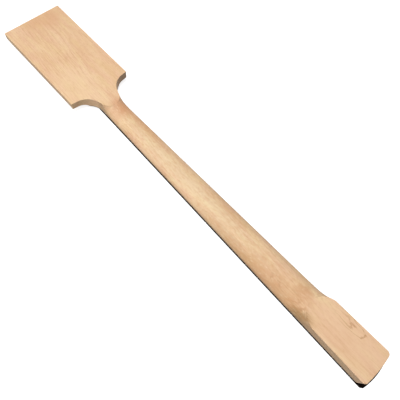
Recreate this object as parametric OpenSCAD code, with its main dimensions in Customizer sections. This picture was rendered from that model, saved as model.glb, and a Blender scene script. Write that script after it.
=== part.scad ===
// Bolt-on bass guitar neck with an unshaped "paddle" headstock.
// It lies on its frets with the back up: +Z out of the back, +X from the headstock to the heel,
// +Y towards the bass side. The origin is under the middle of the neck, at the crown of the frets.
// Inside the modules x is measured from the nut line and z from the crown of the fingerboard.

/* [Scale and frets] */
// String length from the nut line to the bridge
scale_length = 863.6; // [760:0.1:915]
// Number of frets
fret_count = 21; // [20:1:22]
// Width of a fret's crown
fret_crown_w = 2.6; // [2:0.1:3.2]
// Height of a fret's crown over the fingerboard
fret_crown_h = 1.1; // [0.8:0.05:1.5]
// Thickness of a fret's tang
fret_tang_w = 0.6; // [0.5:0.05:0.8]
// Depth of a fret's tang below the fingerboard's surface
fret_tang_h = 2; // [1.4:0.1:2.6]
// Lean of the bevel at a fret's ends, from the vertical
fret_bevel = 35; // [20:1:45]

/* [Fingerboard] */
// Thickness of the fingerboard at its crown
board_t = 6.35; // [5:0.05:7.5]
// Radius of the playing surface
board_radius = 241.3; // [180:0.1:400]
// Fingerboard beyond the last fret
board_past_fret = 8.8; // [6.5:0.1:14]
// Fingerboard on the headstock side of the nut line
board_shelf = 5.5; // [4.5:0.1:8]
// Width of the slot that takes the nut
nut_slot_w = 3.2; // [2.8:0.1:3.4]
// Depth of the nut slot below the crown
nut_slot_depth = 3.4; // [2:0.1:4]
// Diameter of the dots on the playing surface
dot_d = 6.35; // [4:0.05:9]
// Depth of the dots
dot_depth = 2; // [1:0.1:2.6]
// Distance between the two dots at the octave
dot_pair_gap = 22; // [14:0.5:28]
// Diameter of the dots along the bass edge
side_dot_d = 2.2; // [1.5:0.1:2.6]
// Depth of the dots along the bass edge
side_dot_depth = 4; // [2:0.5:6]
// Distance from the fingerboard's underside to the middle of those dots
side_dot_rise = 2.4; // [1.6:0.1:3]
// Distance between the two of them at the octave
side_dot_pair_gap = 8; // [5:0.5:12]

/* [Neck] */
// Width at the nut line
nut_width = 38.1; // [36:0.1:46]
// Width at the end of the heel
heel_width = 61.5; // [56:0.5:70]
// Thickness over the fingerboard at the first fret
neck_t_first = 20.5; // [19.5:0.1:23]
// Thickness over the fingerboard at the twelfth fret
neck_t_twelfth = 22.9; // [20.5:0.1:24]
// Fullness of the back's curve: 2 is an ellipse, more is squarer
back_fullness = 2.2; // [2:0.05:2.8]
// How far the back's curve would overshoot the side, which leaves a flat strip beside the fingerboard
side_strip = 0.15; // [0.08:0.01:0.4]

/* [Heel] */
// Thickness over the fingerboard at the heel and at the headstock
blank_t = 25.4; // [24.5:0.1:28]
// Fingerboard that overhangs the end of the heel
heel_overhang = 9.8; // [0:0.1:16]
// Length of the flat pad, from the end of the heel to the tip of its nose
heel_pad_len = 125.5; // [100:0.5:150]
// Length of the rounded nose of that pad
heel_nose_len = 31; // [18:1:45]
// Length of the scoop between that nose and the carved back
heel_scoop_len = 26; // [12:1:50]
// Radius of the curved end of the heel
heel_end_r = 240; // [120:1:400]
// Radius of the curved end of the fingerboard
board_end_r = 125; // [90:1:400]
// Radius of the corners of the heel
heel_corner_r = 6; // [2:0.5:12]
// Radius of the corners of the fingerboard
board_corner_r = 4; // [2:0.5:12]

/* [Headstock] */
// Length from the end to the corners of the shoulders
headstock_len = 210; // [150:1:260]
// Width of the unshaped headstock
headstock_w = 120.5; // [100:0.5:150]
// Thickness of the headstock
headstock_t = 12.2; // [11:0.1:17]
// Distance from the corner of the treble side's shoulder to the nut line
shoulder_setback = 20; // [14:0.5:26]
// How much nearer the nut line the bass side's shoulder is
shoulder_lead = 3; // [0:0.5:6]
// Slant of the shoulders
shoulder_slant = 6; // [0:1:18]
// Radius of the coves between the shoulders and the neck
cove_r = 33; // [22:1:36]
// Radius of the ramp from the nut down to the face of the headstock
ramp_r = 25; // [18:1:40]
// Distance from the nut line to the tip of the flat tongue on the back
tongue_reach = 27; // [24:1:45]
// Length of the rounded part of that tongue
tongue_round = 20; // [14:1:30]
// Length of the scoop between that tongue and the carved back
tongue_scoop_len = 20; // [10:1:40]

/* [Truss rod] */
// Diameter of the turning rod
rod_d = 4.8; // [4:0.1:5]
// Depth of the rod's axis below the underside of the fingerboard
rod_axis_depth = 4.2; // [4:0.1:4.6]
// Distance from the end of the rod to the end of the heel
rod_to_heel = 25; // [18:1:60]
// Width of the flat bar and of the blocks
bar_w = 6.2; // [6:0.1:7]
// Thickness of the flat bar
bar_t = 3; // [2:0.1:3.2]
// Length of each block
block_len = 12; // [8:1:20]
// Distance from the nut line to the front block
block_setback = 8; // [6:0.5:14]
// Diameter of the adjusting nut
adjuster_d = 7.6; // [7:0.1:8]
// Length of the adjusting nut
adjuster_len = 14; // [12:1:20]
// Width across the flats of its socket
socket_af = 4; // [3:0.5:5]
// Depth of its socket
socket_depth = 7; // [5:0.5:9]
// Width of the access slot in the face of the headstock
access_w = 9; // [8.6:0.1:11]
// Length of the access slot, from the nut line towards the headstock's end
access_len = 46; // [38:1:60]

/* [Clearances] */
// Gap round an inlay, a tang and under a crown
seat_gap = 0.02; // [0.01:0.01:0.05]
// Gap round the turning rod in its blocks
running_gap = 0.05; // [0.02:0.01:0.1]
// Gap between the truss rod's parts and the sides of the channel
channel_gap = 0.15; // [0.05:0.05:0.3]
// Gap between the turning rod and the flat bar
bar_gap = 0.35; // [0.3:0.05:0.6]

/* [Hidden] */
$fn = 96;
over = 1;                                    // how far a cutter runs past what it cuts
bite = 0.01;                                 // makes a circle cross the lines that it would only touch
dot_frets = [for (n = [3, 5, 7, 9, 12, 15, 17, 19, 21]) if (n <= fret_count) n];
single_dots = [for (n = dot_frets) if (n != 12) n];
octave_sides = [["bass", 1], ["treble", -1]];

// Where the main lines lie along the neck
function fret_x(n) = scale_length * (1 - pow(2, -n / 12));
function dot_x(n) = (fret_x(n - 1) + fret_x(n)) / 2;
board_end = fret_x(fret_count) + board_past_fret;
heel_end = board_end - heel_overhang;
shoulder_x = -shoulder_setback;
headstock_end = shoulder_x - headstock_len;
middle_x = (headstock_end + board_end) / 2;

// Half the width of the neck: a straight taper from the nut to the heel
side_slope = (heel_width - nut_width) / 2 / heel_end;
side_root = sqrt(1 + side_slope * side_slope);
function half_w(x) = nut_width / 2 + side_slope * x;

// Heights
face_z = blank_t - headstock_t;              // the headstock's face
carve_h = blank_t - board_t;                 // maple at the heel and at the headstock's tongue
thickening = (neck_t_twelfth - neck_t_first) / (fret_x(12) - fret_x(1));
function neck_h(x) = neck_t_first + thickening * (x - fret_x(1)) - board_t;

// Cove: a circle that touches the slanted shoulder and the side of the neck
function cove_centre(corner_x) =
    let (rise = (headstock_w - nut_width) / 2 - cove_r * side_root,
        x = (corner_x + rise * tan(shoulder_slant) + cove_r / cos(shoulder_slant))
            / (1 + side_slope * tan(shoulder_slant)))
    [x, half_w(x) + cove_r * side_root];

// Truss rod, as depths below the fingerboard's underside
rod_z = board_t + rod_axis_depth;
bar_depth = rod_axis_depth + rod_d / 2 + bar_gap;
channel_depth = bar_depth + bar_t + channel_gap;
channel_w = bar_w + 2 * channel_gap;
block_wall = (bar_w - rod_d) / 2;
block_depth = rod_axis_depth - rod_d / 2 - block_wall;
rod_end = heel_end - rod_to_heel;
rod_past_block = 3;
rear_block_x = rod_end - rod_past_block - block_len;
adjuster_gap = block_setback / 2;            // from the adjusting nut to the front block
adjuster_x = block_setback - adjuster_gap - adjuster_len;
rod_in_adjuster = 5;
rod_start = adjuster_x + adjuster_len - rod_in_adjuster;
access_depth = rod_axis_depth + access_w / 2;

// Moves what is drawn from the nut line to the part's own origin
module from_nut() { translate([-middle_x, 0, fret_crown_h]) children(); }

// A cylinder along X
module rod_along_x(x, length, d) {
    translate([x, 0, rod_z]) rotate([0, 90, 0]) cylinder(h = length, d = d);
}

// ---------------------------------------------------------------- outlines seen from the back

// Centre of the corner circle that touches the side and the curved end
function corner_centre(end_x, end_r, corner_r) =
    let (x0 = end_x - end_r, q = end_r - corner_r, k = side_root * side_root,
        a = half_w(x0) - corner_r * side_root,
        u = (-a * side_slope + sqrt(a * a * side_slope * side_slope - k * (a * a - q * q))) / k)
    [x0 + u, a + side_slope * u];

// What a curved end with round corners leaves out
module end_waste(end_x, end_r, corner_r) {
    c = corner_centre(end_x, end_r, corner_r);
    arc_x = end_x - end_r;
    on_side = c + corner_r * [-side_slope, 1] / side_root;
    on_arc = c + corner_r * (c - [arc_x, 0]) / norm(c - [arc_x, 0]);
    reach = heel_width;
    difference() {
        translate([end_x - reach / 3, -reach]) square([reach, 2 * reach]);
        translate([arc_x, 0]) circle(r = end_r, $fn = 360);
    }
    for (side = [-1, 1]) on_side_of(side) difference() {
        polygon([c, on_side, on_side + [corner_r * 2, over], on_arc + [over, corner_r], on_arc]);
        translate(c) circle(r = corner_r + bite);
    }
}

// Mirrors a shape to the treble side when side is -1
module on_side_of(side) { if (side > 0) children(); else mirror([0, 1, 0]) children(); }

// The tapered strip under the strings, from start_x to end_x
module strip_outline(start_x, end_x) {
    difference() {
        polygon([[start_x, half_w(start_x)], [end_x, half_w(end_x)],
            [end_x, -half_w(end_x)], [start_x, -half_w(start_x)]]);
        end_waste(end_x, board_end_r, board_corner_r);
    }
}

// One side of the blank, for a shoulder whose corner is at corner_x
function half_outline(corner_x) =
    let (c = cove_centre(corner_x))
    [[headstock_end, headstock_w / 2], [corner_x, headstock_w / 2],
        c - cove_r * [cos(shoulder_slant), sin(shoulder_slant)],
        c + cove_r * [side_slope, -1] / side_root, [heel_end, half_w(heel_end)]];

// The blank: paddle, slanted shoulders, coves, tapered neck and curved heel
module blank_outline() {
    bass_corner = shoulder_x + shoulder_lead;
    bass = half_outline(bass_corner);
    treble = half_outline(shoulder_x);
    difference() {
        polygon(concat(bass, [for (i = [len(treble) - 1 : -1 : 0]) [treble[i].x, -treble[i].y]]));
        translate(cove_centre(bass_corner)) circle(r = cove_r + bite, $fn = 180);
        on_side_of(-1) translate(cove_centre(shoulder_x)) circle(r = cove_r + bite, $fn = 180);
        end_waste(heel_end, heel_end_r, heel_corner_r);
    }
}

// ---------------------------------------------------------------- the carved back

// The carved back is one loft of superellipses. Each section stands on the fingerboard's underside,
// half_w wide each way and a height h tall. Where h passes the blank's thickness, the blank's flat
// back stays, and the edge of that flat is the round tongue at one end and the round nose at the other.

// Height of a section so that the flat left on the blank narrows as an ellipse: t is 1 at the tip of
// the flat and 0 where the flat is as wide as the neck
function flat_h(t) = carve_h / pow(1 - pow(1 - t * t, back_fullness / 2), 1 / back_fullness);
// Height along the scoop between a tip and the carved back: s is 0 at the tip and 1 at the back
function scoop_h(x, s) = neck_h(x) + (carve_h - neck_h(x)) * (1 - s) * (1 - s);

widest_t = 0.25;                             // where the flat is taken as wide as the neck
flare_w = headstock_w;                       // half width of a section that clears the whole blank
flare_h = flat_h(widest_t);
tongue_wide_x = tongue_reach - tongue_round * (1 - widest_t);
nose_tip_x = heel_end - heel_pad_len;
nose_wide_x = nose_tip_x + heel_nose_len * (1 - widest_t);
nose_flare_len = heel_nose_len / 2;
flare_len = tongue_wide_x - shoulder_x;

// Stations of the loft, each [x, half width, height]
flare_steps = 10;
flat_steps = 16;
scoop_steps = 12;
tongue_flare = [for (i = [flare_steps : -1 : 1]) let (s = i / flare_steps)
    [tongue_wide_x - flare_len * s, half_w(tongue_wide_x) + side_strip + flare_w * s * s, flare_h]];
tongue_flat = [for (i = [0 : flat_steps]) let (t = widest_t + (1 - widest_t) * sin(90 * i / flat_steps),
        x = tongue_reach - tongue_round * (1 - t))
    [x, half_w(x) + side_strip, flat_h(t)]];
tongue_scoop = [for (i = [1 : scoop_steps]) let (s = i / scoop_steps, x = tongue_reach + tongue_scoop_len * s)
    [x, half_w(x) + side_strip, scoop_h(x, s)]];
nose_scoop = [for (i = [scoop_steps : -1 : 1]) let (s = i / scoop_steps, x = nose_tip_x - heel_scoop_len * s)
    [x, half_w(x) + side_strip, scoop_h(x, s)]];
nose_flat = [for (i = [flat_steps : -1 : 0]) let (t = widest_t + (1 - widest_t) * sin(90 * i / flat_steps),
        x = nose_tip_x + heel_nose_len * (1 - t))
    [x, half_w(x) + side_strip, flat_h(t)]];
nose_flare = [for (x = [nose_wide_x + nose_flare_len, board_end]) [x, heel_width, flare_h]];
stations = concat([[headstock_end - over, tongue_flare[0][1], flare_h]], tongue_flare, tongue_flat,
    tongue_scoop, nose_scoop, nose_flat, nose_flare);

// One section: a foot just below the fingerboard's underside, then the superellipse over the back
section_steps = 56;
function powered(v) = sign(v) * pow(abs(v), 2 / back_fullness);
function section(st) = concat([[st[0], st[1], board_t - over]],
    [for (i = [0 : section_steps]) let (a = 180 * i / section_steps)
        [st[0], st[1] * powered(cos(a)), board_t + st[2] * powered(sin(a))]],
    [[st[0], -st[1], board_t - over]]);

// The loft as a closed solid
module carved_back() {
    m = section_steps + 3;
    n = len(stations);
    points = [for (st = stations) each section(st)];
    first_cap = [for (j = [0 : m - 1]) j];
    last_cap = [for (j = [m - 1 : -1 : 0]) (n - 1) * m + j];
    sides = [for (i = [0 : n - 2], j = [0 : m - 1]) let (k = (j + 1) % m)
        [i * m + j, (i + 1) * m + j, (i + 1) * m + k, i * m + k]];
    polyhedron(points, concat([first_cap, last_cap], sides));
}

// ---------------------------------------------------------------- cutters on the playing side

// Drops the headstock's face below the fingerboard and joins it to the nut by a round ramp
ramp_z = face_z - ramp_r;
ramp_x = -board_shelf - sqrt(ramp_r * ramp_r - ramp_z * ramp_z);
module face_drop() {
    w = headstock_w + 2 * over;
    translate([ramp_x, w / 2, ramp_z]) rotate([90, 0, 0]) cylinder(h = w, r = ramp_r, $fn = 180);
    translate([headstock_end - over, -w / 2, -over]) cube([ramp_x - headstock_end + over, w, face_z + over]);
}

// A slot with round ends, routed from the fingerboard's underside
module routed_slot(x1, x2, w, depth) {
    translate([0, 0, board_t - over]) linear_extrude(depth + over) {
        translate([x1 + w / 2, -w / 2]) square([x2 - x1 - w, w]);
        translate([x1 + w / 2, 0]) circle(d = w);
        translate([x2 - w / 2, 0]) circle(d = w);
    }
}

// ---------------------------------------------------------------- wood

module maple_neck() {
    from_nut() color("burlywood") difference() {
        intersection() {
            translate([0, 0, board_t]) linear_extrude(carve_h) blank_outline();
            carved_back();
        }
        face_drop();
        routed_slot(block_setback - access_w, rod_end + channel_w / 2, channel_w, channel_depth);
        routed_slot(-access_len, block_setback, access_w, access_depth);
    }
}

module fingerboard() {
    from_nut() color("#2b211d") difference() {
        intersection() {
            linear_extrude(board_t) strip_outline(-board_shelf - ramp_r, board_end);
            translate([-board_shelf - ramp_r - over, 0, board_radius]) rotate([0, 90, 0])
                cylinder(h = board_end + board_shelf + ramp_r + 2 * over, r = board_radius, $fn = 360);
        }
        face_drop();
        nut_slot();
        for (n = [1 : fret_count]) fret_slot(n);
        for (n = single_dots) dot_hole(dot_x(n), 0);
        for (s = octave_sides) dot_hole(dot_x(12), s[1] * dot_pair_gap / 2);
        for (n = single_dots) side_dot_hole(dot_x(n));
        for (x = octave_side_x) side_dot_hole(x);
    }
}

// The slot for the nut, with a floor that follows the playing surface
module nut_slot() {
    difference() {
        translate([-nut_slot_w, -nut_width, -over]) cube([nut_slot_w, 2 * nut_width, board_t]);
        translate([-nut_slot_w - over, 0, board_radius]) rotate([0, 90, 0])
            cylinder(h = nut_slot_w + 2 * over, r = board_radius - nut_slot_depth, $fn = 360);
    }
}

// ---------------------------------------------------------------- frets

// A fret's section, lying on the playing surface: a round crown on a flat tang
crown_r = (fret_crown_w * fret_crown_w / 4 + fret_crown_h * fret_crown_h) / (2 * fret_crown_h);
module fret_profile() {
    intersection() {
        translate([0, fret_crown_h - crown_r]) circle(r = crown_r);
        translate([-fret_crown_w / 2, seat_gap]) square([fret_crown_w, fret_crown_h]);
    }
    translate([-fret_tang_w / 2, -fret_tang_h]) square([fret_tang_w, fret_tang_h + 2 * seat_gap]);
}

// Turns a profile round the axis of the playing surface
module around_board(x) {
    translate([x, 0, board_radius]) rotate([0, 90, 0]) rotate_extrude($fn = 360)
        translate([board_radius, 0]) rotate(-90) children();
}

// The room between the ends of a fret: upright beside the fingerboard, bevelled over it
module fret_ends(x) {
    w = half_w(x - fret_crown_w / 2);
    edge_z = board_radius - sqrt(board_radius * board_radius - w * w);
    lean = (edge_z + fret_crown_h + over) * tan(fret_bevel);
    translate([x - fret_crown_w, 0, 0]) rotate([90, 0, 90]) linear_extrude(2 * fret_crown_w)
        polygon([[-w, board_t], [w, board_t], [w, edge_z], [w - lean, -fret_crown_h - over],
            [-w + lean, -fret_crown_h - over], [-w, edge_z]]);
}

module fret(n) {
    from_nut() color("silver") intersection() {
        around_board(fret_x(n)) fret_profile();
        fret_ends(fret_x(n));
    }
}

module fret_slot(n) {
    w = fret_tang_w + 2 * seat_gap;
    around_board(fret_x(n)) translate([-w / 2, -fret_tang_h - seat_gap]) square([w, fret_tang_h + over]);
}

// ---------------------------------------------------------------- dots

side_dot_z = board_t - side_dot_rise;
octave_side_x = [dot_x(12) - side_dot_pair_gap / 2, dot_x(12) + side_dot_pair_gap / 2];

module dot_hole(x, y) {
    translate([x, y, -over]) cylinder(h = dot_depth + over + seat_gap, d = dot_d + 2 * seat_gap);
}

module face_dot(x, y) {
    from_nut() color("ivory") intersection() {
        translate([x, y, 0]) cylinder(h = dot_depth, d = dot_d);
        translate([x - dot_d, 0, board_radius]) rotate([0, 90, 0])
            cylinder(h = 2 * dot_d, r = board_radius, $fn = 360);
    }
}

module along_y(x, y, length, d) {
    translate([x, y, side_dot_z]) rotate([-90, 0, 0]) cylinder(h = length, d = d);
}

module side_dot_hole(x) {
    along_y(x, half_w(x) - side_dot_depth - seat_gap, side_dot_depth + over, side_dot_d + 2 * seat_gap);
}

module side_dot(x) {
    from_nut() color("ivory") intersection() {
        along_y(x, half_w(x) - side_dot_depth, side_dot_depth + over, side_dot_d);
        linear_extrude(board_t) strip_outline(0, board_end);
    }
}

// ---------------------------------------------------------------- truss rod

// The rod that turns, threaded into both blocks and brazed into its adjusting nut
module truss_rod() {
    from_nut() color("gray") rod_along_x(rod_start, rod_end - rod_start, rod_d);
}

module truss_rod_adjuster() {
    from_nut() color("dimgray") difference() {
        rod_along_x(adjuster_x, adjuster_len, adjuster_d);
        rod_along_x(rod_start - seat_gap, adjuster_len, rod_d + 2 * seat_gap);
        translate([adjuster_x - over, 0, rod_z]) rotate([0, 90, 0]) rotate(30)
            cylinder(h = socket_depth + over, d = socket_af / cos(30), $fn = 6);
    }
}

module truss_rod_bar() {
    from_nut() color("lightslategray")
        translate([block_setback, -bar_w / 2, board_t + bar_depth])
            cube([rod_end - rod_past_block - block_setback, bar_w, bar_t]);
}

module truss_rod_block(x) {
    from_nut() color("goldenrod") difference() {
        translate([x, -bar_w / 2, board_t + block_depth]) cube([block_len, bar_w, bar_depth - block_depth]);
        rod_along_x(x - over, block_len + 2 * over, rod_d + 2 * running_gap);
    }
}

// ---------------------------------------------------------------- pieces

maple_neck();
fingerboard();
for (n = [1 : fret_count]) fret(n);
for (n = single_dots) face_dot(dot_x(n), 0);
for (s = octave_sides) face_dot(dot_x(12), s[1] * dot_pair_gap / 2);
for (n = single_dots) side_dot(dot_x(n));
side_dot(octave_side_x[0]);  // side_dot_12_low
side_dot(octave_side_x[1]);  // side_dot_12_high
truss_rod();
truss_rod_adjuster();
truss_rod_bar();
truss_rod_block(block_setback);  // truss_rod_front_block
truss_rod_block(rear_block_x);  // truss_rod_rear_block
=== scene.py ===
import math

import bpy
from mathutils import Euler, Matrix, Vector


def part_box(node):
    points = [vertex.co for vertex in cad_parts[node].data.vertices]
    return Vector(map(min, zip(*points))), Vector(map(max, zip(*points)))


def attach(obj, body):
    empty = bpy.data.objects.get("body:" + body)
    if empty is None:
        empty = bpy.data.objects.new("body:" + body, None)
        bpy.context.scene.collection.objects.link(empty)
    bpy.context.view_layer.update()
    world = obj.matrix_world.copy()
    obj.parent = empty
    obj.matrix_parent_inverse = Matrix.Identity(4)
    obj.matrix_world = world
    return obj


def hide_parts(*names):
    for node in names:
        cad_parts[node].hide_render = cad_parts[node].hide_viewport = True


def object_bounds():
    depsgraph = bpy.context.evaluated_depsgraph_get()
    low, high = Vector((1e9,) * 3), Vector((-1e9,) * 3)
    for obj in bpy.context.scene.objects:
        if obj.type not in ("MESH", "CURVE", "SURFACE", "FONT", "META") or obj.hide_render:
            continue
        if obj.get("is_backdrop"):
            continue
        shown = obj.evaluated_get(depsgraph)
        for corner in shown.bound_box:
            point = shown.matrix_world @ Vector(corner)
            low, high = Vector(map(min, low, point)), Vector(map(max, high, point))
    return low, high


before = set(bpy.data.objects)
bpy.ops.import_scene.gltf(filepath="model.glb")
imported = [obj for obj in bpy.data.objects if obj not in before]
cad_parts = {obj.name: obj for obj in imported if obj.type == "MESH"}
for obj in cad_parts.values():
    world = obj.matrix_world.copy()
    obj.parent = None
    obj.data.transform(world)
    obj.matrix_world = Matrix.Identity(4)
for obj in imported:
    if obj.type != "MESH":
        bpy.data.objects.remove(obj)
cad_low, cad_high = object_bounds()

# ---------------------------------------------------------------- maple neck
# One blank of hard maple: an unshaped paddle headstock, a carved back and a flat heel pad for the
# neck screws. It is sawn to its outline, carved and slotted by machine, sanded, and has no finish.

mm = 0.001
fret_count = 21
scale_length = 863.6             # from the nut to the bridge
board_past_fret = 8.8            # the fingerboard's end, past its last fret
board_t = 6.35
blank_t = 25.4                   # maple and fingerboard together, at the heel
nut_half = 19.05                 # half the width at the nut, at the heel's end and of the headstock
heel_half = 30.75
headstock_half = 60.25
face_z = 13.2                    # the headstock's face, over the fingerboard's crown
carve_h = blank_t - board_t      # what there is to carve, over the glue line


def fret_x(n):
    """Distance in mm from the nut line to a fret."""
    return scale_length * (1 - 2 ** (-n / 12))


# The nut line and the crown of the fingerboard, from which the neck is measured
board_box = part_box("fingerboard")
nut_line = board_box[1].x - (fret_x(fret_count) + board_past_fret) * mm
crown = board_box[0].z


def placed(x, y, z):
    """A point in mm from the nut line and the fingerboard's crown, put where the part is, in metres."""
    return (nut_line + x * mm, y * mm, crown + z * mm)


neck_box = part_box("maple_neck")
headstock_end = (neck_box[0].x - nut_line) / mm
heel_end = (neck_box[1].x - nut_line) / mm
taper = (heel_half - nut_half) / heel_end


def half_w(x):
    """Half the neck's width at x, which grows evenly."""
    return nut_half + taper * x


# The outline. The bass side's shoulder is nearer the nut, the rest is the same on both sides.
corner_ease = 1.0                # the small round on the paddle's upright corners
shoulder_x, shoulder_lead, shoulder_slant = -20.0, 3.0, math.radians(6)
cove_r = 33.0
ramp_r, ramp_end = 25.0, -5.5    # the round ramp in front of the nut
ramp_x = ramp_end - math.sqrt(ramp_r ** 2 - (face_z - ramp_r) ** 2)
heel_end_r, heel_corner_r = 240.0, 6.0
side_root = math.hypot(1, taper)
side_out = Vector((-taper, 1)) / side_root

# The blank's flat back ends in a round tongue and a round nose, from which scoops lead into the
# carving. Past round_share of its radius a round is as wide as the blank.
tongue_tip, tongue_round, tongue_scoop = 27.0, 20.0, 20.0
nose_tip, nose_round, nose_scoop = heel_end - 125.5, 31.0, 26.0
round_share = 0.75
tongue_wide = tongue_tip - round_share * tongue_round
nose_wide = nose_tip + round_share * nose_round

# Where sections stand along the neck, closer together where the carving turns: the headstock; then
# the tongue and its scoop, the shaft, the nose's scoop and the nose, and the heel's pad
headstock_stations = (-190, -150, -110, -75, -46, -36, ramp_x, ramp_x + 2.2, ramp_x + 4.4)
shaft_start, shaft_end = tongue_tip + tongue_scoop, nose_tip - nose_scoop
stations = [tongue_tip - tongue_round * (1 - math.sin(math.radians(a))) for a in range(36, 91, 3)]
stations += [tongue_tip + tongue_scoop * i / 20 for i in range(1, 21)]
stations += [shaft_start + (shaft_end - shaft_start) * i / 80 for i in range(1, 80)]
stations += [shaft_end + nose_scoop * i / 22 for i in range(23)]
stations += [nose_tip + nose_round * (1 - math.sin(math.radians(a))) for a in range(87, 14, -3)]
stations += [nose_wide + i * 1.5 for i in range(1, 12)] + [530, 550, 570, 585]


def side_outline(corner_x):
    """One side from the headstock's end to the heel's, for a shoulder whose corner is at corner_x: each
    point, its outward direction, and how far the line across the neck from it bulges to the heel."""
    made = []
    # The paddle's corner and its straight side
    for angle in (90, 60, 30, 0):
        out = Vector((-math.sin(math.radians(angle)), math.cos(math.radians(angle))))
        middle = Vector((headstock_end + corner_ease, headstock_half - corner_ease))
        made.append((middle + corner_ease * out, out, 0.0))
    for x in headstock_stations:
        made.append((Vector((x, headstock_half)), Vector((0, 1)), 0.0))
    # The shoulder's corner
    slant = Vector((math.cos(shoulder_slant), math.sin(shoulder_slant)))
    middle = Vector((corner_x - corner_ease * (1 - slant.y) / slant.x, headstock_half - corner_ease))
    for angle in (90, 62, 34, math.degrees(shoulder_slant)):
        out = Vector((math.cos(math.radians(angle)), math.sin(math.radians(angle))))
        made.append((middle + corner_ease * out, out, 0.0))
    # The cove, a circle that touches the slanted shoulder and the neck's side
    rise = headstock_half - nut_half - cove_r * side_root
    x = ((corner_x + rise * math.tan(shoulder_slant) + cove_r / math.cos(shoulder_slant))
         / (1 + taper * math.tan(shoulder_slant)))
    cove_middle = Vector((x, half_w(x) + cove_r * side_root))
    cove_start, cove_steps = math.pi + shoulder_slant, 36
    cove_turn = 1.5 * math.pi + math.atan(taper) - cove_start
    for i in range(cove_steps + 1):
        a = cove_start + cove_turn * i / cove_steps
        out = -Vector((math.cos(a), math.sin(a)))
        made.append((cove_middle - cove_r * out, out, 0.0))
    # The heel's corner, a circle that touches the neck's side and the curved end from inside: its
    # middle is where the side, moved in by the corner's radius, meets the arc that does the same
    arc_x = heel_end - heel_end_r
    a = half_w(arc_x) - heel_corner_r * side_root
    q = heel_end_r - heel_corner_r
    u = (-a * taper + math.sqrt(a * a * taper * taper - side_root ** 2 * (a * a - q * q))) / side_root ** 2
    corner = Vector((arc_x + u, a + taper * u))
    on_side = corner + heel_corner_r * side_out
    end_out = (corner - Vector((arc_x, 0))).normalized()
    on_arc = corner + heel_corner_r * end_out
    made += [(Vector((x, half_w(x))), side_out, 0.0) for x in sorted(stations) if x < on_side.x - 0.3]
    start, turn = math.atan2(side_out.y, side_out.x), math.atan2(end_out.y, end_out.x)
    corner_steps = 12
    for i in range(corner_steps + 1):
        a = start + (turn - start) * i / corner_steps
        out = Vector((math.cos(a), math.sin(a)))
        point = corner + heel_corner_r * out
        bulge = (heel_end - on_arc.x) * (point.x - on_side.x) / (on_arc.x - on_side.x)
        made.append((point, out, bulge))
    return made


outlines = [side_outline(shoulder_x + shoulder_lead), side_outline(shoulder_x)]

# The carved back: each section is a superellipse on the fingerboard's glue line. Where it would
# pass the blank's thickness the blank stays flat, which leaves the round tongue and nose.
fullness = 2.2                   # 2 is an ellipse
side_strip = 0.15                # wider than the neck by this, so its sides stand upright at the glue
first_t, thickening = 20.5, 2.4  # neck and board at the first fret, and what is added by the 12th


def neck_h(x):
    """The carved neck's height over the glue line."""
    return first_t + thickening * (x - fret_x(1)) / (fret_x(12) - fret_x(1)) - board_t


def flat_h(t):
    """A section's height, so that the blank cuts it as wide as a round is at t of its radius."""
    return carve_h / (1 - (1 - t * t) ** (fullness / 2)) ** (1 / fullness)


def section(x):
    """Half width and height of the superellipse at x."""
    if x < tongue_wide:
        s = min(1, (tongue_wide - x) / (tongue_wide - shoulder_x))
        return half_w(tongue_wide) + side_strip + 2 * headstock_half * s * s, flat_h(1 - round_share)
    if x < tongue_tip:
        return half_w(x) + side_strip, flat_h(1 - (tongue_tip - x) / tongue_round)
    if x > nose_wide:
        s = min(1, (x - nose_wide) / (nose_round / 2))
        w = half_w(nose_wide) + side_strip
        return w + (2 * heel_half - w) * s, flat_h(1 - round_share)
    if x > nose_tip:
        return half_w(x) + side_strip, flat_h(1 - (x - nose_tip) / nose_round)
    s = min(1, (x - tongue_tip) / tongue_scoop, (nose_tip - x) / nose_scoop)
    return half_w(x) + side_strip, neck_h(x) + (carve_h - neck_h(x)) * (1 - s) ** 2


def back_z(x, y):
    """The back's height at a point."""
    w, h = section(x)
    return board_t + min(carve_h, h * max(0, 1 - (abs(y) / w) ** fullness) ** (1 / fullness))


def front_z(x):
    """The headstock's face, the round ramp up to the nut, and the glue line."""
    if x < ramp_x:
        return face_z
    return max(board_t, face_z - ramp_r + math.sqrt(max(0, ramp_r ** 2 - (x - ramp_x) ** 2)))


points, index, faces = [], {}, []    # index finds a point's number from its place


def vertex(x, y, z):
    """The number of the point that lies here, a new one if there is none."""
    key = (round(x, 3), round(y, 3), round(z, 3))
    if key not in index:
        index[key] = len(points)
        points.append(placed(x, y, z))
    return index[key]


def face(*corners):
    """A face round these points, left out where they fall together."""
    ring = [c for i, c in enumerate(corners) if c != corners[i - 1]]
    if len(set(ring)) == len(ring) > 2:
        faces.append(ring)


def skin(rows, turned):
    """Faces between rows of points, the other way round if turned."""
    for near, far in zip(rows, rows[1:]):
        for j in range(len(near) - 1):
            quad = (near[j], near[j + 1], far[j + 1], far[j])
            face(*(reversed(quad) if turned else quad))


curve_steps, flat_steps = 30, 8


def half_row(rim):
    """Where the back's points lie from a rim to the middle line, as shares of the rim's y."""
    w, h = section(rim.x)
    a_side = math.acos(min(1, (rim.y / w) ** (fullness / 2)))
    a_flat = math.asin(min(1, (carve_h / h) ** (fullness / 2)))
    shares = [1.0] * (curve_steps + 1)
    if a_side < a_flat:
        angles = [a_side + (a_flat - a_side) * i / curve_steps for i in range(curve_steps + 1)]
        shares = [1.0] + [w / rim.y * math.cos(a) ** (2 / fullness) if a < math.pi / 2 - 1e-9 else 0
                          for a in angles[1:]]
    return shares + [shares[-1] * (1 - i / flat_steps) for i in range(1, flat_steps + 1)]


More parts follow.
